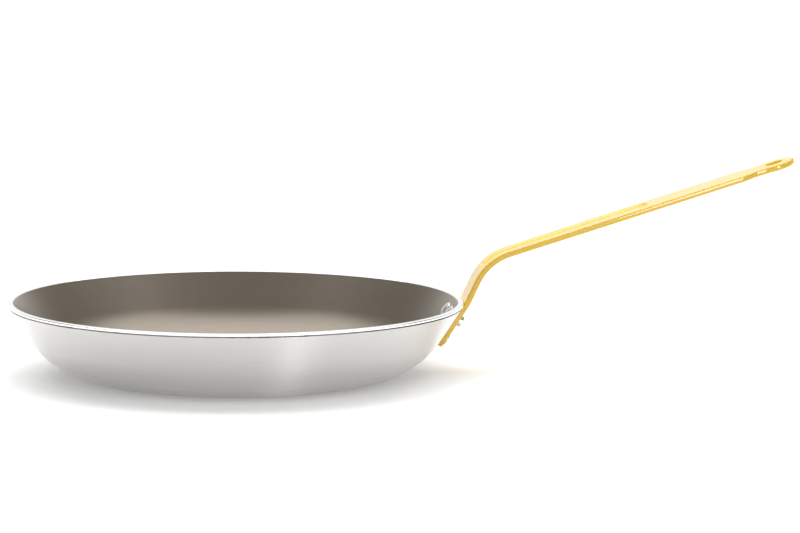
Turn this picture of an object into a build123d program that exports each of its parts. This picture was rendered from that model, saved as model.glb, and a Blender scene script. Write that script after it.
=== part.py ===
from build123d import *
import os
from math import cos, radians, sin, tan

# Omelette pan: a spun aluminium pan with a non-stick lining and a bent steel strip handle,
# held by three aluminium rivets. Millimetres and degrees. The origin is the centre of the
# underside, +Z is up and the handle points along +X.

os.makedirs("parts", exist_ok=True)

# Sizes of the pan
rim_diameter = 280.0
pan_height = 45.5
wall_thickness = 4.0
wall_slope = 57.0
base_corner_radius = 49.8
rim_land_height = 1.5
rim_edge_radius = 0.5
coating_thickness = 0.3

# Sizes of the handle strip
strip_thickness = 3.7
strip_edge_radius = 1.1
strip_width = 24.4
grip_width = 26.4
foot_length = 31.0
foot_corner_radius = 5.0
rim_bend_radius = 15.0
riser_slope = 64.8
riser_length = 29.3
shoulder_bend_radius = 35.0
handle_slope = 17.5

# Distances along the grip, from the corner where the riser's and the grip's upper faces meet
grip_taper_end = 87.0
eye_distance = 191.2

# Sizes of the eye, and of the neck before it, whose length ends at the eye's centre
eye_diameter = 25.2
hanging_hole_diameter = 10.8
hanging_hole_edge_radius = 0.6
neck_length = 14.2
neck_taper_length = 9.0
neck_inset = 1.9
neck_rounding = 6.0

# Sizes of the groove pressed into the upper face of the grip. It starts at the same corner
groove_depth = 1.0
groove_start_width = 7.0
groove_end_width = 16.0
groove_end_distance = 100.0

# Sizes of the rivets. The upper ones lie below the foot of the rim's land and in from the
# strip's long edges, and the lower one lies above the end of the foot
rivet_shank_diameter = 5.0
upper_rivet_drop = 11.0
upper_rivet_edge_distance = 4.5
lower_rivet_end_distance = 5.8
inner_head_diameter = 11.5
inner_head_crown_height = 1.4
inner_head_rim_height = 0.6
outer_head_diameter = 7.2
outer_head_crown_height = 0.9
outer_head_side_height = 2.1

# How far a cut, or a blank that is trimmed later, runs past its face
overrun = 5.0

# Where the wall's outer face meets the upright land of the rim
rim_radius = rim_diameter / 2
land_foot_height = pan_height - rim_land_height
corner_width = base_corner_radius * sin(radians(wall_slope))
corner_height = base_corner_radius * (1 - cos(radians(wall_slope)))
wall_width = (land_foot_height - corner_height) / tan(radians(wall_slope))
base_radius = rim_radius - wall_width - corner_width
lined_depth = wall_thickness + coating_thickness

# The strip's foot lies on this plane, which touches the wall along one straight line. Its
# local x runs up the wall from the foot of the rim's land, and its local z points outward.
foot_plane = Plane(
    origin=(rim_radius, 0, land_foot_height),
    x_dir=(cos(radians(wall_slope)), 0, sin(radians(wall_slope))),
    z_dir=(sin(radians(wall_slope)), 0, -cos(radians(wall_slope))),
)

# Places of the rivets on the foot plane: two side by side below the rim, one lower down
upper_rivet_offset = strip_width / 2 - upper_rivet_edge_distance
rivet_places = {
    "rivet_upper_left": (-upper_rivet_drop, upper_rivet_offset),
    "rivet_upper_right": (-upper_rivet_drop, -upper_rivet_offset),
    "rivet_lower": (-foot_length + lower_rivet_end_distance, 0),
}


def draw_pan_face(depth, top_height):
    """The floor, corner and wall of the face that lies this deep inside the pan's outside."""
    floor = Line((0, depth), (base_radius, depth))
    corner = JernArc(floor @ 1, floor % 1, base_corner_radius - depth, wall_slope)
    wall_length = (top_height - (corner @ 1).Y) / sin(radians(wall_slope))
    return PolarLine(corner @ 1, wall_length, wall_slope)


def cut_rivet_holes(plane, depth):
    """The holes for the rivets' shanks, cut this deep from a plane above the foot plane."""
    with BuildSketch(plane) as holes:
        with Locations(*rivet_places.values()):
            Circle(rivet_shank_diameter / 2)
    extrude(holes.sketch, amount=-depth, mode=Mode.SUBTRACT)


# The spun pan: floor, rolled corner, sloping wall and a turned land round the rim
with BuildPart() as pan_body:
    with BuildSketch(Plane.XZ):
        with BuildLine():
            outside = draw_pan_face(0, land_foot_height)
            inside = draw_pan_face(wall_thickness, pan_height)
            Polyline(outside @ 1, (rim_radius, pan_height), inside @ 1)
            Line((0, 0), (0, wall_thickness))
        make_face()
    revolve(axis=Axis.Z)
    fillet(pan_body.edges().group_by(Axis.Z)[-1].sort_by(SortBy.LENGTH)[-1], rim_edge_radius)
    cut_rivet_holes(foot_plane.offset(overrun), lined_depth + 2 * overrun)

# The non-stick lining covers the inside up to the flat top of the rim
with BuildPart() as nonstick_lining:
    with BuildSketch(Plane.XZ):
        with BuildLine():
            back = draw_pan_face(wall_thickness, pan_height)
            front = draw_pan_face(lined_depth, pan_height)
            Line(back @ 1, front @ 1)
            Line((0, wall_thickness), (0, lined_depth))
        make_face()
    revolve(axis=Axis.Z)
    cut_rivet_holes(foot_plane.offset(overrun), lined_depth + 2 * overrun)

# The space inside the lining, which shapes the undersides of the rivets' inner heads
with BuildPart() as pan_space:
    with BuildSketch(Plane.XZ):
        with BuildLine():
            lining_face = draw_pan_face(lined_depth, pan_height)
            Polyline((0, lined_depth), (0, pan_height), lining_face @ 1)
        make_face()
    revolve(axis=Axis.Z)

# Corners of the strip's upper face in the side view, the plane of the grip's upper face, and
# the ends of the grip and the neck on it
rim_bend_reach = rim_bend_radius * tan(radians(abs(riser_slope - wall_slope)) / 2)
foot_corner = foot_plane.from_local_coords((-foot_length, 0, 0))
rim_corner = foot_plane.from_local_coords((rim_bend_reach, 0, 0))
riser_rise = Vector(cos(radians(riser_slope)), 0, sin(radians(riser_slope)))
shoulder_corner = rim_corner + riser_rise * riser_length
grip_plane = Plane(
    origin=shoulder_corner,
    x_dir=(cos(radians(handle_slope)), 0, sin(radians(handle_slope))),
    z_dir=(-sin(radians(handle_slope)), 0, cos(radians(handle_slope))),
)
shoulder_reach = shoulder_bend_radius * tan(radians(riser_slope - handle_slope) / 2)
neck_width = eye_diameter - 2 * neck_inset
neck_start = eye_distance - neck_length
grip_end = neck_start - neck_taper_length

# The handle strip: foot, riser and bends from the side view, grip and eye from above
with BuildPart() as handle_strip:
    with BuildSketch(Plane.XZ):
        with BuildLine():
            foot = Line((foot_corner.X, foot_corner.Z), (foot_plane.origin.X, foot_plane.origin.Z))
            rim_bend = JernArc(foot @ 1, foot % 1, rim_bend_radius, riser_slope - wall_slope)
            riser_run = riser_length - rim_bend_reach - shoulder_reach
            riser = PolarLine(rim_bend @ 1, riser_run, riser_slope)
            JernArc(riser @ 1, riser % 1, shoulder_bend_radius, handle_slope - riser_slope)
            offset(amount=strip_thickness, side=Side.RIGHT)
        make_face()
    extrude(amount=strip_width / 2, both=True)
    foot_corners = handle_strip.edges().filter_by(Axis((0, 0, 0), foot_plane.z_dir)).sort_by(Axis.Z)[:2]
    fillet(foot_corners, foot_corner_radius)

    with BuildSketch(grip_plane) as grip_outline:
        with BuildLine():
            Polyline(
                (shoulder_reach, 0),
                (shoulder_reach, strip_width / 2),
                (grip_taper_end, grip_width / 2),
                (grip_end, grip_width / 2),
                (neck_start, neck_width / 2),
                (eye_distance, neck_width / 2),
                (eye_distance, 0),
            )
            mirror(about=Plane.XZ)
        make_face()
        with Locations((eye_distance, 0)):
            Circle(eye_diameter / 2)
        fillet(
            grip_outline.vertices().filter_by_position(Axis.X, grip_end, eye_distance, (True, False)),
            neck_rounding,
        )
    extrude(amount=-strip_thickness)

    across = handle_strip.edges().filter_by(Axis.Y)
    upright = handle_strip.edges().filter_by(Axis((0, 0, 0), foot_plane.z_dir))
    upright += handle_strip.edges().filter_by(Axis((0, 0, 0), grip_plane.z_dir))
    outline_edges = handle_strip.edges() - across - upright
    fillet(outline_edges + across.sort_by(Axis.Z)[:2], strip_edge_radius)

    with BuildSketch(grip_plane.offset(-groove_depth)):
        Circle(groove_start_width / 2)
        with Locations((groove_end_distance, 0)):
            Circle(groove_end_width / 2)
        make_hull()
    extrude(amount=groove_depth + overrun, mode=Mode.SUBTRACT)

    with BuildSketch(grip_plane):
        with Locations((eye_distance, 0)):
            Circle(hanging_hole_diameter / 2)
    extrude(amount=-strip_thickness, mode=Mode.SUBTRACT)
    hole_wall = handle_strip.faces(Select.LAST).filter_by(GeomType.CYLINDER)[0]
    fillet(hole_wall.edges().filter_by(GeomType.CIRCLE), hanging_hole_edge_radius)

    cut_rivet_holes(foot_plane.offset(strip_thickness), strip_thickness)


def make_rivet(place):
    """A rivet at this place on the foot plane: low dome inside, button head outside."""
    centre = foot_plane.from_local_coords((*place, 0))
    section = Plane(centre, foot_plane.x_dir, -foot_plane.y_dir)
    rivet_axis = Axis(centre, foot_plane.z_dir)
    with BuildPart() as rivet:
        with BuildSketch(section):
            with BuildLine():
                dome_foot = -lined_depth - inner_head_rim_height
                dome_edge = (inner_head_diameter / 2, dome_foot)
                dome = TangentArc((0, dome_foot - inner_head_crown_height), dome_edge, tangent=(1, 0))
                Polyline(dome @ 1, (inner_head_diameter / 2, 0), (0, 0), dome @ 0)
            make_face()
        revolve(axis=rivet_axis)
        add(pan_space.part, mode=Mode.INTERSECT)

        with BuildSketch(section):
            with BuildLine():
                crown_foot = strip_thickness + outer_head_side_height
                crown_edge = (outer_head_diameter / 2, crown_foot)
                crown = TangentArc((0, crown_foot + outer_head_crown_height), crown_edge, tangent=(1, 0))
                Polyline(
                    crown @ 1,
                    (outer_head_diameter / 2, strip_thickness),
                    (rivet_shank_diameter / 2, strip_thickness),
                    (rivet_shank_diameter / 2, -lined_depth - inner_head_rim_height),
                    (0, -lined_depth - inner_head_rim_height),
                    crown @ 0,
                )
            make_face()
        revolve(axis=rivet_axis)
    return rivet


pieces = {"pan_body": pan_body, "nonstick_lining": nonstick_lining, "handle_strip": handle_strip}
for name, place in rivet_places.items():
    pieces[name] = make_rivet(place)

for name, piece in pieces.items():
    piece.part.label = name
    export_step(piece.part, f"parts/{name}.step")
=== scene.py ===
from math import atan2, cos, hypot, pi, radians, sin, sqrt, tan

import bmesh
import bpy
from mathutils import Matrix, Vector


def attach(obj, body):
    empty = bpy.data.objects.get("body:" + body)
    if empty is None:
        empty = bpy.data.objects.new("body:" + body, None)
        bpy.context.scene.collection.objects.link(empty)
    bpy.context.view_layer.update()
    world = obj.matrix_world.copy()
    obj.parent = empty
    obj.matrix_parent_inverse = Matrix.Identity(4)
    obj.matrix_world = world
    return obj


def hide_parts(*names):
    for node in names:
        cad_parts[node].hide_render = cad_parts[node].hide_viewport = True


# Omelette pan: spun aluminium shell, non-stick lining, yellow strip handle on three rivets.
# Sizes are in millimetres and degrees, apart from the studio's. Blender works in metres.
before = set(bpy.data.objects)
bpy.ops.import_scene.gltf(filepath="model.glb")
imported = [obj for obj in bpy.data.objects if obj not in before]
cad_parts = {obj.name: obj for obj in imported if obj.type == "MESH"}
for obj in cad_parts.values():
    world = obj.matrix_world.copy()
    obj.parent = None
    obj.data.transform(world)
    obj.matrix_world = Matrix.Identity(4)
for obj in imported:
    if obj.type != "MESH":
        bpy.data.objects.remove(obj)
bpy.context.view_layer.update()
scene = bpy.context.scene
scene.view_settings.view_transform = "Standard"
mm = 0.001
mergeDistance = 0.002  # points nearer to each other than this are one point
print("frame loaded:", ", ".join(sorted(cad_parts)))


def linear(hexColour):  # sRGB hex to linear RGBA
    channels = [int(hexColour[i:i + 2], 16) / 255 for i in (1, 3, 5)]
    return [c / 12.92 if c <= 0.04045 else ((c + 0.055) / 1.055) ** 2.4 for c in channels] + [1.0]


def addNode(tree, kind, inputs=None, **settings):  # inputs take a value, or a socket to link
    node = tree.nodes.new(kind)
    for name, value in settings.items():
        setattr(node, name, value)
    for name, value in (inputs or {}).items():
        if isinstance(value, bpy.types.NodeSocket):
            tree.links.new(value, node.inputs[name])
        else:
            node.inputs[name].default_value = value
    return node


# Fitted to the rim's ellipse, the wall's outline and the base line of the photograph
camera = {
    "target": (99.99, -11.39, 67.15),
    "distance": 2000.0,
    "azimuth": 6.5,  # how far the handle points away from the camera
    "elevation": 7.44,
    "roll": 0.37,
    "lens": 146.51,
    "sensor": 36.0,
}


def makeCamera():
    turn = Matrix.Rotation(-radians(camera["azimuth"]), 3, "Z")
    tilt, roll = radians(camera["elevation"]), radians(camera["roll"])
    back = turn @ Vector((0, -cos(tilt), sin(tilt)))
    right = turn @ Vector((1, 0, 0))
    up = back.cross(right)
    rolledRight = cos(roll) * right + sin(roll) * up
    rolledUp = cos(roll) * up - sin(roll) * right
    data = bpy.data.cameras.new("camera")
    data.lens = camera["lens"]
    data.sensor_width = camera["sensor"]
    obj = bpy.data.objects.new("camera", data)
    obj.matrix_world = Matrix((rolledRight, rolledUp, back)).transposed().to_4x4()
    obj.location = (Vector(camera["target"]) + back * camera["distance"]) * mm
    scene.collection.objects.link(obj)
    scene.camera = obj


makeCamera()
print("camera placed")


def newMaterial(name):
    material = bpy.data.materials.new(name)
    material.use_nodes = True
    tree = material.node_tree
    tree.nodes.clear()
    return material, tree


def turnedAluminium(name, colour, roughness, stretch, lineDepth, linePitch, darker):
    # Satin aluminium off the lathe: the tool leaves rings round the pan, so highlights
    # stretch across them, and single rings are a little darker or brighter. Such rings are
    # usually about 0.3 mm apart, and they are drawn coarser because a pixel covers 0.6 mm.
    material, tree = newMaterial(name)
    coords = addNode(tree, "ShaderNodeTexCoord")
    parts = addNode(tree, "ShaderNodeSeparateXYZ", {0: coords.outputs["Object"]})
    flat = addNode(tree, "ShaderNodeCombineXYZ", {"X": parts.outputs["X"], "Y": parts.outputs["Y"]})
    radius = addNode(tree, "ShaderNodeVectorMath", {0: flat.outputs[0]}, operation="LENGTH")
    # noise cells per metre: across the rings, and along them, where they change slowly
    ringScale, driftScale = 1 / (linePitch * mm), 6.0
    ring = addNode(
        tree, "ShaderNodeCombineXYZ", {"X": radius.outputs["Value"], "Y": parts.outputs["Z"]})
    rings = addNode(
        tree, "ShaderNodeVectorMath", {0: ring.outputs[0], "Scale": ringScale}, operation="SCALE")
    drift = addNode(
        tree, "ShaderNodeVectorMath", {0: flat.outputs[0], "Scale": driftScale}, operation="SCALE")
    place = addNode(
        tree, "ShaderNodeVectorMath", {0: rings.outputs[0], 1: drift.outputs[0]}, operation="ADD")
    lines = addNode(
        tree, "ShaderNodeTexNoise",
        {"Vector": place.outputs[0], "Scale": 1.0, "Detail": 3.0, "Roughness": 0.6})
    tint = addNode(
        tree, "ShaderNodeMapRange",
        {"Value": lines.outputs["Fac"], "From Min": 0.3, "From Max": 0.7,
         "To Min": darker, "To Max": 1.0})
    base = addNode(
        tree, "ShaderNodeMix",
        {"Factor": 1.0, "A": linear(colour), "B": tint.outputs["Result"]},
        data_type="RGBA", blend_type="MULTIPLY")
    bump = addNode(
        tree, "ShaderNodeBump",
        {"Height": lines.outputs["Fac"], "Strength": 1.0, "Distance": lineDepth * mm})
    roughSpread = 0.06
    rough = addNode(
        tree, "ShaderNodeMapRange",
        {"Value": lines.outputs["Fac"], "To Min": roughness - roughSpread,
         "To Max": roughness + roughSpread})
    tangent = addNode(tree, "ShaderNodeTangent", direction_type="RADIAL", axis="Z")
    shader = addNode(
        tree, "ShaderNodeBsdfPrincipled",
        {"Base Color": base.outputs["Result"], "Metallic": 1.0,
         "Roughness": rough.outputs["Result"], "Anisotropic": stretch,
         "Anisotropic Rotation": 0.25, "Normal": bump.outputs["Normal"],
         "Tangent": tangent.outputs["Tangent"]})
    addNode(tree, "ShaderNodeOutputMaterial", {"Surface": shader.outputs["BSDF"]})
    return material


def grooveShadeMaterial():
    # Bottom of a turned groove: dull aluminium with painted shade and painted dark reflection, dark
    # in broken
    # # patches and more so towards the handle.
    material, tree = newMaterial("aluminium with painted groove shade")
    coords = addNode(tree, "ShaderNodeTexCoord")
    parts = addNode(tree, "ShaderNodeSeparateXYZ", {0: coords.outputs["Object"]})
    patches = addNode(
        tree, "ShaderNodeTexNoise",
        {"Vector": coords.outputs["Object"], "Scale": 1 / (14 * mm), "Detail": 4.0,
         "Roughness": 0.65})
    # painted shade begins at the first place and is full from the second
    shadeStartsAt, shadeFullFrom = 70 * mm, 112 * mm  # places along the handle's direction
    nearHandle = addNode(
        tree, "ShaderNodeMapRange",
        {"Value": parts.outputs["X"], "From Min": shadeStartsAt, "From Max": shadeFullFrom})
    spread = addNode(
        tree, "ShaderNodeMapRange",
        {"Value": patches.outputs["Fac"], "From Min": 0.48, "From Max": 0.75})
    # amount of painted shade: the patches, plus more towards the handle
    shadeAmount = addNode(
        tree, "ShaderNodeMath", {0: spread.outputs["Result"], 1: nearHandle.outputs["Result"]},
        operation="ADD", use_clamp=True)
    # painted shade: the groove's grey is darkened towards near black where the shade falls
    colour = addNode(
        tree, "ShaderNodeMix",
        {"Factor": shadeAmount.outputs[0], "A": linear("#AFADA9"), "B": linear("#2C2B2A")},
        data_type="RGBA")
    rough = addNode(
        tree, "ShaderNodeMapRange", {"Value": shadeAmount.outputs[0], "To Min": 0.4, "To Max": 0.7})
    shader = addNode(
        tree, "ShaderNodeBsdfPrincipled",
        {"Base Color": colour.outputs["Result"], "Metallic": 0.5,
         "Roughness": rough.outputs["Result"]})
    addNode(tree, "ShaderNodeOutputMaterial", {"Surface": shader.outputs["BSDF"]})
    return material


def satinNonstick():
    # Sprayed PTFE coating: warm dark grey, satin, with a fine orange peel and faint mottling.
    # Such a peel is usually about 0.6 mm across, and it is drawn twice as coarse because a
    # pixel covers 0.6 mm.
    material, tree = newMaterial("sprayed PTFE coating")
    coords = addNode(tree, "ShaderNodeTexCoord")
    peel = addNode(
        tree, "ShaderNodeTexNoise",
        {"Vector": coords.outputs["Object"], "Scale": 1 / (1.2 * mm), "Detail": 2.0,
         "Roughness": 0.5})
    mottle = addNode(
        tree, "ShaderNodeTexNoise",
        {"Vector": coords.outputs["Object"], "Scale": 1 / (9 * mm), "Detail": 3.0,
         "Roughness": 0.6})
    colour = addNode(
        tree, "ShaderNodeMix",
        {"Factor": mottle.outputs["Fac"], "A": linear("#575452"), "B": linear("#615E5B")},
        data_type="RGBA")
    rough = addNode(
        tree, "ShaderNodeMapRange", {"Value": peel.outputs["Fac"], "To Min": 0.34, "To Max": 0.42})
    bump = addNode(
        tree, "ShaderNodeBump",
        {"Height": peel.outputs["Fac"], "Strength": 0.6, "Distance": 0.02 * mm})
    shader = addNode(
        tree, "ShaderNodeBsdfPrincipled",
        {"Base Color": colour.outputs["Result"], "Roughness": rough.outputs["Result"], "IOR": 1.5,
         "Specular IOR Level": 1.0, "Specular Tint": linear("#FFF1DC"), "Coat Weight": 1.0,
         "Coat Roughness": 0.34, "Coat IOR": 1.5, "Coat Tint": linear("#F4EADB"),
         "Normal": bump.outputs["Normal"]})
    addNode(tree, "ShaderNodeOutputMaterial", {"Surface": shader.outputs["BSDF"]})
    return material


def yellowEpoxy():
    # Baked epoxy powder coat on steel: warm yellow, glossy, with a very soft orange peel.
    material, tree = newMaterial("glossy epoxy powder coat")
    coords = addNode(tree, "ShaderNodeTexCoord")
    peel = addNode(
        tree, "ShaderNodeTexNoise",
        {"Vector": coords.outputs["Object"], "Scale": 1 / (2.5 * mm), "Detail": 1.0,
         "Roughness": 0.4})
    flow = addNode(
        tree, "ShaderNodeTexNoise",
        {"Vector": coords.outputs["Object"], "Scale": 1 / (14 * mm), "Detail": 2.0,
         "Roughness": 0.5})
    colour = addNode(
        tree, "ShaderNodeMix",
        {"Factor": flow.outputs["Fac"], "A": linear("#EBBD22"), "B": linear("#F0C52A")},
        data_type="RGBA")
    bump = addNode(
        tree, "ShaderNodeBump",
        {"Height": peel.outputs["Fac"], "Strength": 0.5, "Distance": 0.02 * mm})
    shader = addNode(
        tree, "ShaderNodeBsdfPrincipled",
        {"Base Color": colour.outputs["Result"], "Roughness": 0.22, "IOR": 1.5, "Coat Weight": 0.6,
         "Coat Roughness": 0.1, "Normal": bump.outputs["Normal"]})
    addNode(tree, "ShaderNodeOutputMaterial", {"Surface": shader.outputs["BSDF"]})
    return material


def headedAluminium():
    # Cold-headed aluminium rivets: bright satin, with small dents from the snap tool.
    material, tree = newMaterial("cold-headed aluminium")
    coords = addNode(tree, "ShaderNodeTexCoord")
    dents = addNode(
        tree, "ShaderNodeTexNoise",
        {"Vector": coords.outputs["Object"], "Scale": 1 / (1.6 * mm), "Detail": 1.5,
         "Roughness": 0.5})
    rough = addNode(
        tree, "ShaderNodeMapRange", {"Value": dents.outputs["Fac"], "To Min": 0.2, "To Max": 0.4})
    bump = addNode(
        tree, "ShaderNodeBump",
        {"Height": dents.outputs["Fac"], "Strength": 0.8, "Distance": 0.06 * mm})
    shader = addNode(
        tree, "ShaderNodeBsdfPrincipled",
        {"Base Color": linear("#DEDCD8"), "Metallic": 1.0, "Roughness": rough.outputs["Result"],
         "Normal": bump.outputs["Normal"]})
    addNode(tree, "ShaderNodeOutputMaterial", {"Surface": shader.outputs["BSDF"]})
    return material


spunAluminium = turnedAluminium(
    "spun satin aluminium", "#D9D8D5", roughness=0.32, stretch=0.95, lineDepth=0.012,
    linePitch=1.1, darker=0.95)
facedAluminium = turnedAluminium(
    "faced bright aluminium", "#FAFAF9", roughness=0.14, stretch=0.4, lineDepth=0.008,
    linePitch=0.8, darker=0.98)
# the relief groove's material, with painted shade in its colour
reliefShadeMaterial = grooveShadeMaterial()
nonstick = satinNonstick()
epoxy = yellowEpoxy()
rivetAluminium = headedAluminium()
print("materials made")


def newTree(name, inputs):
    tree = bpy.data.node_groups.new(name, "GeometryNodeTree")
    tree.interface.new_socket("Geometry", in_out="INPUT", socket_type="NodeSocketGeometry")
    for label, kind in inputs:
        tree.interface.new_socket(label, in_out="INPUT", socket_type=kind)
    tree.interface.new_socket("Geometry", in_out="OUTPUT", socket_type="NodeSocketGeometry")
    return tree, addNode(tree, "NodeGroupInput")


def finishTree(tree, geometry, material):
    # every tree ends in real geometry with its material on it
    real = addNode(tree, "GeometryNodeRealizeInstances", {"Geometry": geometry})
    dressed = addNode(
        tree, "GeometryNodeSetMaterial", {"Geometry": real.outputs[0], "Material": material})
    addNode(tree, "NodeGroupOutput", {"Geometry": dressed.outputs[0]})
    return tree


def latheTree():
    # the profile's points become the rows of a grid, and its columns go round the axis
    tree, given = newTree(
        "lathe", (("Steps", "NodeSocketInt"), ("Material", "NodeSocketMaterial")))
    profile, steps = given.outputs["Geometry"], given.outputs["Steps"]
    size = addNode(tree, "GeometryNodeAttributeDomainSize", {"Geometry": profile}, component="MESH")
    columns = addNode(tree, "ShaderNodeMath", {0: steps, 1: 1.0}, operation="ADD")
    grid = addNode(
        tree, "GeometryNodeMeshGrid",
        {"Vertices X": size.outputs["Point Count"], "Vertices Y": columns.outputs[0]})
    index = addNode(tree, "GeometryNodeInputIndex")
    split = addNode(
        tree, "ShaderNodeMath", {0: index.outputs[0], 1: columns.outputs[0]}, operation="DIVIDE")
    row = addNode(tree, "ShaderNodeMath", {0: split.outputs[0]}, operation="FLOOR")
    column = addNode(
        tree, "ShaderNodeMath", {0: index.outputs[0], 1: columns.outputs[0]}, operation="MODULO")
    position = addNode(tree, "GeometryNodeInputPosition")
    point = addNode(
        tree, "GeometryNodeSampleIndex",
        {"Geometry": profile, "Value": position.outputs[0], "Index": row.outputs[0]},
        data_type="FLOAT_VECTOR")
    share = addNode(tree, "ShaderNodeMath", {0: column.outputs[0], 1: steps}, operation="DIVIDE")
    angle = addNode(tree, "ShaderNodeMath", {0: share.outputs[0], 1: 2 * pi}, operation="MULTIPLY")
    turned = addNode(
        tree, "ShaderNodeVectorRotate",
        {"Vector": point.outputs[0], "Angle": angle.outputs[0]}, rotation_type="Z_AXIS")
    placed = addNode(
        tree, "GeometryNodeSetPosition",
        {"Geometry": grid.outputs["Mesh"], "Position": turned.outputs[0]})
    joined = addNode(
        tree, "GeometryNodeMergeByDistance",
        {"Geometry": placed.outputs[0], "Distance": mergeDistance * mm})
    smooth = addNode(tree, "GeometryNodeSetShadeSmooth", {"Geometry": joined.outputs[0]})
    return finishTree(tree, smooth.outputs[0], given.outputs["Material"])


def rivetTree():
    # one rivet stands on each point, turned so that its axis lies along Direction
    tree, given = newTree("rivets", (
        ("Rivet", "NodeSocketObject"), ("Direction", "NodeSocketVector"),
        ("Material", "NodeSocketMaterial")))
    rivet = addNode(tree, "GeometryNodeObjectInfo", {"Object": given.outputs["Rivet"]})
    turn = addNode(
        tree, "FunctionNodeAlignRotationToVector",
        {"Vector": given.outputs["Direction"]}, axis="Z")
    copies = addNode(
        tree, "GeometryNodeInstanceOnPoints",
        {"Points": given.outputs["Geometry"], "Instance": rivet.outputs["Geometry"],
         "Rotation": turn.outputs[0]})
    return finishTree(tree, copies.outputs[0], given.outputs["Material"])


def meshObject(name, points, edges=(), faces=()):
    mesh = bpy.data.meshes.new(name)
    mesh.from_pydata([Vector(p) * mm for p in points], edges, faces)
    obj = bpy.data.objects.new(name, mesh)
    scene.collection.objects.link(obj)
    return obj


def runTree(obj, tree, values, sharpAngle):
    # gives the modifier its inputs, keeps the result as a plain mesh and turns its faces outward
    modifier = obj.modifiers.new(tree.name, "NODES")
    modifier.node_group = tree
    for item in tree.interface.items_tree:
        if item.in_out == "INPUT" and item.name in values:
            modifier[item.identifier] = values[item.name]
    obj.update_tag()
    shape = obj.evaluated_get(bpy.context.evaluated_depsgraph_get())
    mesh = bpy.data.meshes.new_from_object(shape)
    obj.modifiers.remove(modifier)
    obj.data = mesh
    shell = bmesh.new()
    shell.from_mesh(mesh)
    bmesh.ops.recalc_face_normals(shell, faces=shell.faces)
    if shell.calc_volume(signed=True) < 0:
        bmesh.ops.reverse_faces(shell, faces=shell.faces)
    shell.to_mesh(mesh)
    shell.free()
    mesh.set_sharp_from_angle(angle=radians(sharpAngle))
    return obj


def arc(centre, radius, fromAngle, toAngle, count):
    angles = [radians(fromAngle + (toAngle - fromAngle) * i / count) for i in range(count + 1)]
    return [(centre[0] + radius * cos(a), centre[1] + radius * sin(a)) for a in angles]


def lathe(name, profile, steps, material, sharpAngle):
    points = [(r, 0, z) for r, z in profile]
    obj = meshObject(name, points, [(i, i + 1) for i in range(len(points) - 1)])
    return runTree(obj, lathing, {"Steps": steps, "Material": material}, sharpAngle)


lathing = latheTree()
riveting = rivetTree()


# The pan: one side view turned round the axis, and the lining laid inside it
pan = {
    "rimDiameter": 280.0,
    "height": 45.5,
    "wall": 4.0,
    "wallSlope": 57.0,
    "baseCorner": 49.8,
    "land": 1.5,  # upright band round the rim, faced after spinning
    "reliefHeight": 0.7,  # turned groove under the band, where the facing tool stopped
    "reliefDepth": 0.5,
    "rimEdge": 0.5,
    "rimEdgeSteps": 6,
    "innerEdge": 0.25,
    "baseRings": 3,
    "coating": 0.3,
    "coatingDrop": 0.04,  # the lining stops this far below the rim's flat
    "stepsRound": 288,
    "cornerSteps": 40,
    "sharpAngle": 28,
}

# radius and height where the wall's outside meets the band
wallTop = (pan["rimDiameter"] / 2, pan["height"] - pan["land"])


def wallRadius(depth, height):
    # radius of the wall's face that lies this deep inside the outside, on its straight part
    slope = radians(pan["wallSlope"])
    return wallTop[0] + (height - wallTop[1]) / tan(slope) - depth / sin(slope)


def panSide(depth):
    # floor and corner of the face at this depth, up to where the straight wall starts
    slope = radians(pan["wallSlope"])
    corner = pan["baseCorner"]
    cornerTop = corner * (1 - cos(slope))
    centre = wallRadius(0, cornerTop) - corner * sin(slope)
    points = [(0, depth)]
    points += [(centre * i / pan["baseRings"], depth) for i in range(1, pan["baseRings"])]
    points += arc((centre, corner), corner - depth, -90, -90 + pan["wallSlope"], pan["cornerSteps"])
    return points


def makePan():
    top = pan["height"]
    rim, landFoot = wallTop
    edge, inner = pan["rimEdge"], pan["innerEdge"]
    reliefFoot = landFoot - pan["reliefHeight"]
    wallEnd = wallRadius(0, reliefFoot)
    reliefMiddle = (wallEnd - pan["reliefDepth"], reliefFoot + pan["reliefHeight"] / 2)
    outside = panSide(0) + [(wallEnd, reliefFoot), reliefMiddle]
    outside += [(rim - edge / 2, landFoot), (rim, landFoot + edge / 2)]
    outside += arc((rim - edge, top - edge), edge, 0, 90, pan["rimEdgeSteps"])
    flatEnd = wallRadius(pan["wall"], top)
    inside = [(flatEnd + inner, top), (flatEnd, top - inner)]
    inside += panSide(pan["wall"])[::-1]
    obj = lathe(
        "panShell", outside + inside, pan["stepsRound"], spunAluminium, pan["sharpAngle"])
    # The tree leaves its first slot empty, so the slots are filled again. The faced band and the
    # # rim's flat are brighter than the wall, and the relief groove is dull, with painted shade.
    obj.data.materials.clear()
    for material in (spunAluminium, facedAluminium, reliefShadeMaterial):
        obj.data.materials.append(material)
    for face in obj.data.polygons:
        height = face.center.z / mm
        face.material_index = 1 if height > landFoot else 2 if height > reliefFoot else 0
    return obj


def makeLining():
    top = pan["height"] - pan["coatingDrop"]
    back, front = pan["wall"], pan["wall"] + pan["coating"]
    profile = panSide(front) + [(wallRadius(front, top), top), (wallRadius(back, top), top)]
    profile += panSide(back)[::-1]
    return lathe("nonstickCoating", profile, pan["stepsRound"], nonstick, pan["sharpAngle"])


panShell = makePan()
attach(panShell, "root")
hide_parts("pan_body")
coating = makeLining()
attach(coating, "root")
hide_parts("nonstick_lining")
print("pan and lining turned")


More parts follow.
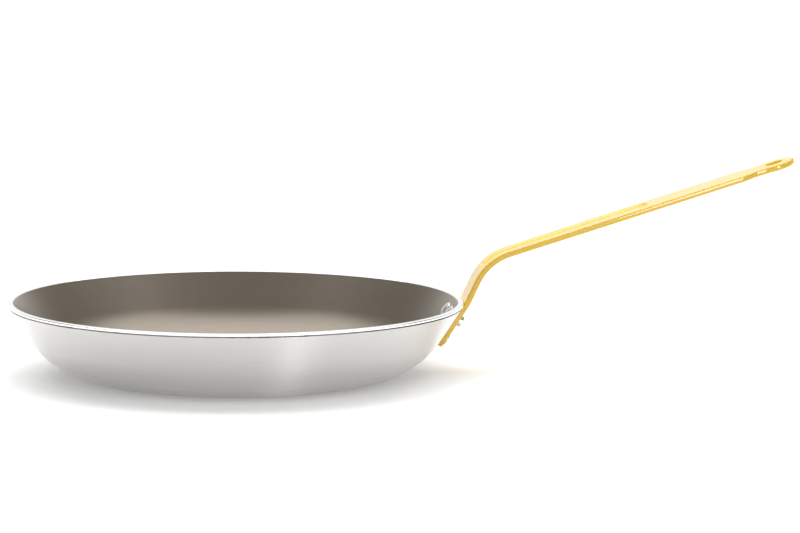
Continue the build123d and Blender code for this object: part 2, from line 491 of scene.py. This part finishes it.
# The handle strip: a flat blank with rounded edges and a pressed groove, then bent
strip = {
    "thickness": 3.7,
    "edge": 1.1,
    "edgeSteps": 6,
    "cornerSteps": 6,
    "width": 24.4,
    "gripWidth": 26.4,
    "neckWidth": 21.4,
    "footLength": 31.0,
    "footCorner": 5.0,
    "footRows": (9, 14, 19, 24),
    "rimBend": 15.0,
    "riserSlope": 64.8,
    "riserLength": 29.3,
    "shoulderBend": 35.0,
    "gripSlope": 17.5,
    "bendStep": 0.75,  # degrees from row to row
    "bendRows": 4,  # a bend has at least this many rows
    # five distances along the grip from the shoulder's corner
    "taperEnd": 87.0,
    "gripEnd": 168.0,
    "neckStart": 177.0,
    "joint": 180.7,  # where the rows of the blank give way to rings round the hole
    "eyeCentre": 191.2,
    "neckRounding": 6.0,
    "neckSteps": 8,
    "eyeDiameter": 25.2,
    "eyeSteps": 36,
    "eyeRings": 6,
    "holeDiameter": 10.8,
    "holeEdge": 0.6,
    "holeEdgeSteps": 4,
    "columns": 60,
    "grooveRow": 0.6,  # distance from row to row along the groove
    "gripRows": 12,  # from the groove's end to the neck
    "rowMargin": 2,  # the groove's rows end this far past it, the grip's this far before its end
}
groove = {
    "startRadius": 6.5,
    "endRadius": 9.0,
    "endDistance": 100.0,
    "start": 3.0,  # centre of its round start, past the shoulder's corner
    "depth": 1.0,
    "side": 2.4,  # width of the sloping side, which is pressed soft
}

# the side view's path: straight and curved runs along the face that touches the wall
slopeWall, slopeRiser, slopeGrip = pan["wallSlope"], strip["riserSlope"], strip["gripSlope"]
rimReach = strip["rimBend"] * tan(radians(slopeRiser - slopeWall) / 2)
shoulderReach = strip["shoulderBend"] * tan(radians(slopeRiser - slopeGrip) / 2)
runs = [  # length, radius (0 is straight), turn in degrees
    (strip["footLength"], 0, 0),
    (strip["rimBend"] * radians(slopeRiser - slopeWall), strip["rimBend"],
     slopeRiser - slopeWall),
    (strip["riserLength"] - rimReach - shoulderReach, 0, 0),
    (strip["shoulderBend"] * radians(slopeRiser - slopeGrip), strip["shoulderBend"],
     slopeGrip - slopeRiser),
]
bendEnd = sum(run[0] for run in runs)


def alongGrip(distance):  # distance from the shoulder's corner to distance along the blank
    return bendEnd + distance - shoulderReach


def pathPoint(s):
    # place and slope of the path at s along the blank
    heading = radians(slopeWall)
    x = wallTop[0] - strip["footLength"] * cos(heading)
    z = wallTop[1] - strip["footLength"] * sin(heading)
    for length, radius, turn in runs:
        here = min(s, length)
        if radius:
            bend = radians(turn) * here / length
            chord = 2 * radius * sin(abs(bend) / 2)
            x += chord * cos(heading + bend / 2)
            z += chord * sin(heading + bend / 2)
            heading += bend
        else:
            x += here * cos(heading)
            z += here * sin(heading)
        s -= length
        if s <= 0:
            return x, z, heading
    return x + s * cos(heading), z + s * sin(heading), heading


def bent(s, t, depth):
    # a point of the blank, this deep under its upper face, after bending
    x, z, heading = pathPoint(s)
    return (x + depth * sin(heading), t, z - depth * cos(heading))


def grooveDepth(s, t):
    # distance inside the outline round the groove's two end circles, as a soft-sided depth
    u = s - alongGrip(groove["start"])
    t = abs(t)
    length = groove["endDistance"] - groove["start"]
    lean = (groove["startRadius"] - groove["endRadius"]) / length
    upright = sqrt(1 - lean * lean)
    k = -lean * t + upright * u
    if k < 0:
        outside = hypot(u, t) - groove["startRadius"]
    elif k > upright * length:
        outside = hypot(u - length, t) - groove["endRadius"]
    else:
        outside = t * upright + u * lean - groove["startRadius"]
    share = min(max(-outside / groove["side"], 0), 1)
    return groove["depth"] * share * share * (3 - 2 * share)


def halfWidth(s):
    u = s - alongGrip(0)
    start, end = strip["width"] / 2, strip["gripWidth"] / 2
    if u < shoulderReach:
        return start
    if u < strip["taperEnd"]:
        return start + (end - start) * (u - shoulderReach) / (strip["taperEnd"] - shoulderReach)
    return end


def rounded(points, corner, radius, count):
    # replaces one corner of an outline by an arc
    before, here, after = (Vector(points[corner + i]) for i in (-1, 0, 1))
    a, b = (before - here).normalized(), (after - here).normalized()
    half = a.angle(b) / 2
    reach = radius / tan(half)
    centre = here + (a + b).normalized() * radius / sin(half)
    fromVector, toVector = here + a * reach - centre, here + b * reach - centre
    arcPoints = []
    for i in range(count + 1):
        mixed = fromVector.slerp(toVector, i / count)  # slerp gives a unit vector
        arcPoints.append(tuple(centre + mixed * radius))
    return points[:corner] + arcPoints + points[corner + 1:]


def blankOutline():
    # left half of the outline, from the middle of the foot's corner to the tip, as (s, t)
    corner, half = strip["footCorner"], strip["width"] / 2
    foot = arc((corner, half - corner), corner, 135, 90, strip["cornerSteps"])
    sides = [(s, half) for s in (*strip["footRows"], strip["footLength"])]
    stations = []
    s = strip["footLength"]
    for length, radius, turn in runs[1:]:
        count = max(int(abs(turn) / strip["bendStep"]), strip["bendRows"])
        stations += [s + length * i / count for i in range(1, count + 1)]
        s += length
    grooveEnd = alongGrip(groove["endDistance"] + groove["endRadius"]) + strip["rowMargin"]
    steps = int((grooveEnd - bendEnd) / strip["grooveRow"])
    stations += [bendEnd + (grooveEnd - bendEnd) * i / steps for i in range(1, steps + 1)]
    gripEnd = alongGrip(strip["gripEnd"])
    steps, rest = strip["gripRows"], gripEnd - strip["rowMargin"] - grooveEnd
    stations += [grooveEnd + rest * i / steps for i in range(1, steps + 1)]
    sides += [(s, halfWidth(s)) for s in stations]
    neck = [
        sides[-1],
        (gripEnd, strip["gripWidth"] / 2),
        (alongGrip(strip["neckStart"]), strip["neckWidth"] / 2),
        (alongGrip(strip["joint"]), strip["neckWidth"] / 2),
    ]
    neck = rounded(neck, 2, strip["neckRounding"], strip["neckSteps"])
    neck = rounded(neck, 1, strip["neckRounding"], strip["neckSteps"])
    rows = foot + sides + neck[1:]
    # the eye: a small hollow rounding off the neck, then the circle round to the tip
    centre, radius = alongGrip(strip["eyeCentre"]), strip["eyeDiameter"] / 2
    soft, neckHalf = strip["neckRounding"], strip["neckWidth"] / 2
    hollow = (centre - sqrt((radius + soft) ** 2 - (neckHalf + soft) ** 2), neckHalf + soft)
    meet = atan2(hollow[1], hollow[0] - centre) * 180 / pi
    eye = arc(hollow, soft, -90, meet - 180, strip["cornerSteps"])
    eye += arc((centre, 0), radius, meet, 0, strip["eyeSteps"])[1:]
    return rows, eye


def insetLoop(loop, distance):
    # moves a closed outline inwards, along the mean normal of its two edges at each point
    moved = []
    count = len(loop)
    for i, (s, t) in enumerate(loop):
        before, after = loop[i - 1], loop[(i + 1) % count]
        first = Vector((s - before[0], t - before[1])).normalized()
        second = Vector((after[0] - s, after[1] - t)).normalized()
        normal = Vector((first.y + second.y, -first.x - second.x)).normalized()
        moved.append((s + normal.x * distance, t + normal.y * distance))
    return moved


def makeStrip():
    rows, eye = blankOutline()
    columns, thickness, edge = strip["columns"], strip["thickness"], strip["edge"]
    # the foot's end runs from the middle of one corner to the other's, one point per column
    corner, half = strip["footCorner"], strip["width"] / 2
    cornerSteps = strip["cornerSteps"]
    flat = columns - 2 * cornerSteps
    ends = arc((corner, half - corner), corner, 135, 180, cornerSteps)
    ends += [(0, (half - corner) * (1 - 2 * i / flat)) for i in range(1, flat + 1)]
    ends += arc((corner, corner - half), corner, 180, 225, cornerSteps)[1:]
    # closed loop, clockwise from above: up the left side, round the eye, back, across the foot
    left = rows[1:]
    right = [(s, -t) for s, t in reversed(left)]
    tip = eye[1:] + [(s, -t) for s, t in reversed(eye[1:-1])]
    loop = left + tip + right + ends[::-1]
    nLeft, nTip, nRight = len(left), len(tip), len(right)
    points, faces = [], []

    def addPoint(s, t, depth):
        points.append(bent(s, t, depth))
        return len(points) - 1

    def edgeLevels(radius, steps):
        # inset and depth of each ring: upper rounded edge, then side and lower rounded edge
        turns = [pi / 2 * i / steps for i in range(steps + 1)]
        upper = [(radius * (1 - sin(a)), radius * (1 - cos(a))) for a in turns]
        return upper + [(inset, thickness - depth) for inset, depth in reversed(upper)]

    def addBand(upper, lower):
        # one band of faces between two closed rings of points
        for i in range(len(upper)):
            j = (i + 1) % len(upper)
            faces.append((upper[i], lower[i], lower[j], upper[j]))

    rings = []
    for inset, depth in edgeLevels(edge, strip["edgeSteps"]):
        rings.append([addPoint(s, t, depth) for s, t in insetLoop(loop, inset)])
    for upper, lower in zip(rings, rings[1:]):
        addBand(upper, lower)
    insetPoints = insetLoop(loop, edge)

    def addFace(ring, level, pressed):
        # fills the upper or lower face with rows of columns, and returns the loop round the eye
        leftRing, rightRing = ring[:nLeft], ring[nLeft + nTip:nLeft + nTip + nRight][::-1]
        leftPoints = insetPoints[:nLeft]
        rightPoints = insetPoints[nLeft + nTip:nLeft + nTip + nRight][::-1]
        grid = [ring[nLeft + nTip + nRight:][::-1]]  # the foot's end, from left to right
        for k in range(nLeft):
            line = [leftRing[k]]
            for j in range(1, columns):
                share = j / columns
                s = leftPoints[k][0] + (rightPoints[k][0] - leftPoints[k][0]) * share
                t = leftPoints[k][1] + (rightPoints[k][1] - leftPoints[k][1]) * share
                line.append(addPoint(s, t, level + (grooveDepth(s, t) if pressed else 0)))
            line.append(rightRing[k])
            grid.append(line)
        for near, far in zip(grid, grid[1:]):
            for j in range(columns):
                faces.append((near[j], far[j], far[j + 1], near[j + 1]))
        return grid[-1][::-1] + ring[nLeft:nLeft + nTip]

    hole = strip["holeDiameter"] / 2
    centre = alongGrip(strip["eyeCentre"])
    jointLeft, jointRight = insetPoints[nLeft - 1], insetPoints[nLeft + nTip]
    outerPlaces = [
        (jointRight[0] + (jointLeft[0] - jointRight[0]) * j / columns,
         jointRight[1] + (jointLeft[1] - jointRight[1]) * j / columns)
        for j in range(columns + 1)] + insetPoints[nLeft:nLeft + nTip]
    angles = [atan2(t, s - centre) for s, t in outerPlaces]
    holeRings = []
    for inset, depth in edgeLevels(strip["holeEdge"], strip["holeEdgeSteps"]):
        radius = hole + inset
        holeRings.append(
            [addPoint(centre + radius * cos(a), radius * sin(a), depth) for a in angles])
    for upper, lower in zip(holeRings, holeRings[1:]):
        addBand(upper, lower)
    for ring, level, pressed, holeRing in (
            (rings[0], 0, True, holeRings[0]), (rings[-1], thickness, False, holeRings[-1])):
        # the last row and the tip's points are carried in to the hole's edge in rings
        bands = [addFace(ring, level, pressed)]
        for k in range(1, strip["eyeRings"]):
            share = k / strip["eyeRings"]
            band = []
            for (s, t), a in zip(outerPlaces, angles):
                radius = hypot(s - centre, t)
                radius += (hole + strip["holeEdge"] - radius) * share
                band.append(addPoint(centre + radius * cos(a), radius * sin(a), level))
            bands.append(band)
        bands.append(holeRing)
        for far, near in zip(bands, bands[1:]):
            addBand(far, near)
    obj = meshObject("handleStrip", points, (), faces)
    shell = bmesh.new()
    shell.from_mesh(obj.data)
    bmesh.ops.remove_doubles(shell, verts=shell.verts, dist=mergeDistance * mm)
    bmesh.ops.recalc_face_normals(shell, faces=shell.faces)
    if shell.calc_volume(signed=True) < 0:
        bmesh.ops.reverse_faces(shell, faces=shell.faces)
    openEdges = sum(1 for e in shell.edges if not e.is_manifold)
    shell.to_mesh(obj.data)
    shell.free()
    obj.data.shade_smooth()
    obj.data.materials.append(epoxy)
    print("strip:", len(obj.data.vertices), "points,", openEdges, "open edges")
    return obj


handleStrip = makeStrip()
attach(handleStrip, "root")
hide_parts("handle_strip")
print("handle strip bent")


# The rivets: low dome inside, button head outside, one blank set at three places
rivet = {
    "shank": 5.0,
    "upperDrop": 11.0,  # down the wall from the foot of the rim's land
    "upperSide": 7.7,  # to each side of the strip's middle
    "lowerDrop": 25.2,
    "innerHead": 11.5,
    "innerCrown": 1.4,
    "innerRim": 0.6,
    "innerSink": 0.25,  # the head is pressed this far into the curved wall
    "outerHead": 7.2,
    "outerCrown": 0.9,
    "outerSide": 2.1,
    "outerSink": 0.05,  # the head starts this far inside the strip's face
    "edge": 0.3,
    "edgeTurn": 70,  # degrees from the side to where the crown begins
    "edgeSteps": 3,
    "crownSteps": 10,
    "stepsRound": 40,
    "sharpAngle": 35,
}


def makeRivets():
    # the blank's axis is Z, with 0 on the strip's inner face and +Z towards the outside
    inside = -(pan["wall"] + pan["coating"])
    domeFoot = inside - rivet["innerRim"]
    outer, inner, shank = rivet["outerHead"] / 2, rivet["innerHead"] / 2, rivet["shank"] / 2
    edge, edgeTurn, edgeSteps = rivet["edge"], rivet["edgeTurn"], rivet["edgeSteps"]
    crownFoot = strip["thickness"] + rivet["outerSide"]
    outerFoot = strip["thickness"] - rivet["outerSink"]

    def crown(radius, foot, height, direction):
        # a cap from the axis out to its edge
        sphere = (radius ** 2 + height ** 2) / (2 * height)
        steps = rivet["crownSteps"]
        return [(r, foot + direction * (sqrt(sphere ** 2 - r ** 2) - sphere + height))
                for r in (radius * i / steps for i in range(steps + 1))]

    profile = crown(inner - edge, domeFoot, rivet["innerCrown"], -1)
    profile += arc((inner - edge, domeFoot + edge), edge, -edgeTurn, 0, edgeSteps)
    profile += [(inner, inside + rivet["innerSink"]), (shank, inside + rivet["innerSink"])]
    profile += [(shank, outerFoot), (outer, outerFoot)]
    profile += arc((outer - edge, crownFoot - edge), edge, 0, edgeTurn, edgeSteps)
    profile += crown(outer - edge, crownFoot, rivet["outerCrown"], 1)[::-1]
    blank = lathe(
        "rivetBlank", profile, rivet["stepsRound"], rivetAluminium, rivet["sharpAngle"])
    slope = radians(pan["wallSlope"])
    places = [(rivet["upperDrop"], rivet["upperSide"]), (rivet["upperDrop"], -rivet["upperSide"]),
              (rivet["lowerDrop"], 0)]
    points = [(wallTop[0] - drop * cos(slope), side, wallTop[1] - drop * sin(slope))
              for drop, side in places]
    obj = meshObject("handleRivets", points)
    runTree(obj, riveting, {
        "Rivet": blank, "Direction": (sin(slope), 0, -cos(slope)),
        "Material": rivetAluminium}, rivet["sharpAngle"])
    bpy.data.objects.remove(blank)
    return obj


handleRivets = makeRivets()
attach(handleRivets, "root")
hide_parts("rivet_upper_left", "rivet_upper_right", "rivet_lower")
print("rivets set")


studio = {
    "floorSize": 40.0,  # metres
    "floorColour": "#F2F2F2",
    "floorGlow": (0.18, 0.75),  # strength up to nearGlow from the middle, and from farGlow on
    "nearGlow": 0.4,  # metres
    "farGlow": 2.5,
    "ambient": 0.54,
    "skyReflection": 0.25,  # what gloss sees overhead, beside the white background at 1
    "skyFrom": 0.4,  # direction heights over which the background changes to the sky
    "skyTo": 0.75,
    "sideShade": 0.5,  # how much a direction to the side counts as height in that change
    "lights": [
        # name, place, size, power and whether it lights matt surfaces, in metres and watts
        ("topBox", (0.1, 0.5, 2.0), (3.2, 1.8), 58.0, True),
        ("sideStrip", (0.52, -1.1, 0.31), (0.3, 0.6), 5.5, False),
    ],
    "lightsLookAt": (0.05, 0, 0.03),
}


def rayIsOneOf(tree, names):
    # 1 for rays of the named kinds, else 0
    path = addNode(tree, "ShaderNodeLightPath")
    found = path.outputs[names[0]]
    for name in names[1:]:
        either = addNode(
            tree, "ShaderNodeMath", {0: found, 1: path.outputs[name]}, operation="MAXIMUM")
        found = either.outputs[0]
    return found


def makeFloor():
    half = studio["floorSize"] / 2 / mm
    corners = [(-half, -half, 0), (half, -half, 0), (half, half, 0), (-half, half, 0)]
    floor = meshObject("floor", corners, (), [(0, 1, 2, 3)])
    material, tree = newMaterial("white sweep")
    # the glow is for the camera and for gloss, and lights no matt surface
    seen = rayIsOneOf(tree, ("Is Camera Ray", "Is Glossy Ray", "Is Transmission Ray"))
    coords = addNode(tree, "ShaderNodeTexCoord")
    away = addNode(tree, "ShaderNodeVectorMath", {0: coords.outputs["Object"]}, operation="LENGTH")
    near, far = studio["floorGlow"]
    amount = addNode(
        tree, "ShaderNodeMapRange",
        {"Value": away.outputs["Value"], "From Min": studio["nearGlow"],
         "From Max": studio["farGlow"], "To Min": near, "To Max": far})
    glow = addNode(
        tree, "ShaderNodeMath", {0: seen, 1: amount.outputs["Result"]}, operation="MULTIPLY")
    card = addNode(tree, "ShaderNodeBsdfDiffuse", {"Color": linear(studio["floorColour"])})
    light = addNode(tree, "ShaderNodeEmission", {"Strength": glow.outputs[0]})
    both = addNode(tree, "ShaderNodeAddShader", {0: card.outputs[0], 1: light.outputs[0]})
    addNode(tree, "ShaderNodeOutputMaterial", {"Surface": both.outputs[0]})
    floor.data.materials.append(material)


def makeWorld():
    world = bpy.data.worlds.new("studio")
    world.use_nodes = True
    tree = world.node_tree
    tree.nodes.clear()
    shown = rayIsOneOf(tree, ("Is Camera Ray", "Is Transmission Ray"))
    mirrored = rayIsOneOf(tree, ("Is Glossy Ray",))
    direction = addNode(tree, "ShaderNodeTexCoord")
    height = addNode(tree, "ShaderNodeSeparateXYZ", {0: direction.outputs["Generated"]})
    aside = addNode(tree, "ShaderNodeMath", {0: height.outputs["X"]}, operation="ABSOLUTE")
    shade = addNode(
        tree, "ShaderNodeMath",
        {0: aside.outputs[0], 1: studio["sideShade"], 2: height.outputs["Z"]},
        operation="MULTIPLY_ADD")
    reflection = addNode(
        tree, "ShaderNodeMapRange",
        {"Value": shade.outputs[0], "From Min": studio["skyFrom"], "From Max": studio["skyTo"],
         "To Min": 1.0, "To Max": studio["skyReflection"]}, interpolation_type="SMOOTHSTEP")
    # plain light for matt surfaces, the gradient for gloss, and pure white for the camera
    glossy = addNode(
        tree, "ShaderNodeMapRange",
        {"Value": mirrored, "To Min": studio["ambient"], "To Max": reflection.outputs["Result"]})
    strength = addNode(
        tree, "ShaderNodeMapRange",
        {"Value": shown, "To Min": glossy.outputs["Result"], "To Max": 1.0})
    background = addNode(
        tree, "ShaderNodeBackground",
        {"Color": linear("#FFFFFF"), "Strength": strength.outputs["Result"]})
    addNode(tree, "ShaderNodeOutputWorld", {"Surface": background.outputs[0]})
    scene.world = world


def makeLights():
    middle = Vector(studio["lightsLookAt"])
    for name, place, size, power, onMatt in studio["lights"]:
        data = bpy.data.lights.new(name, "AREA")
        data.shape = "RECTANGLE"
        data.size, data.size_y = size
        data.energy = power
        obj = bpy.data.objects.new(name, data)
        obj.location = place
        obj.visible_diffuse = onMatt
        obj.rotation_euler = (middle - Vector(place)).to_track_quat("-Z", "Y").to_euler()
        scene.collection.objects.link(obj)


makeFloor()
makeWorld()
makeLights()
print("studio lit")
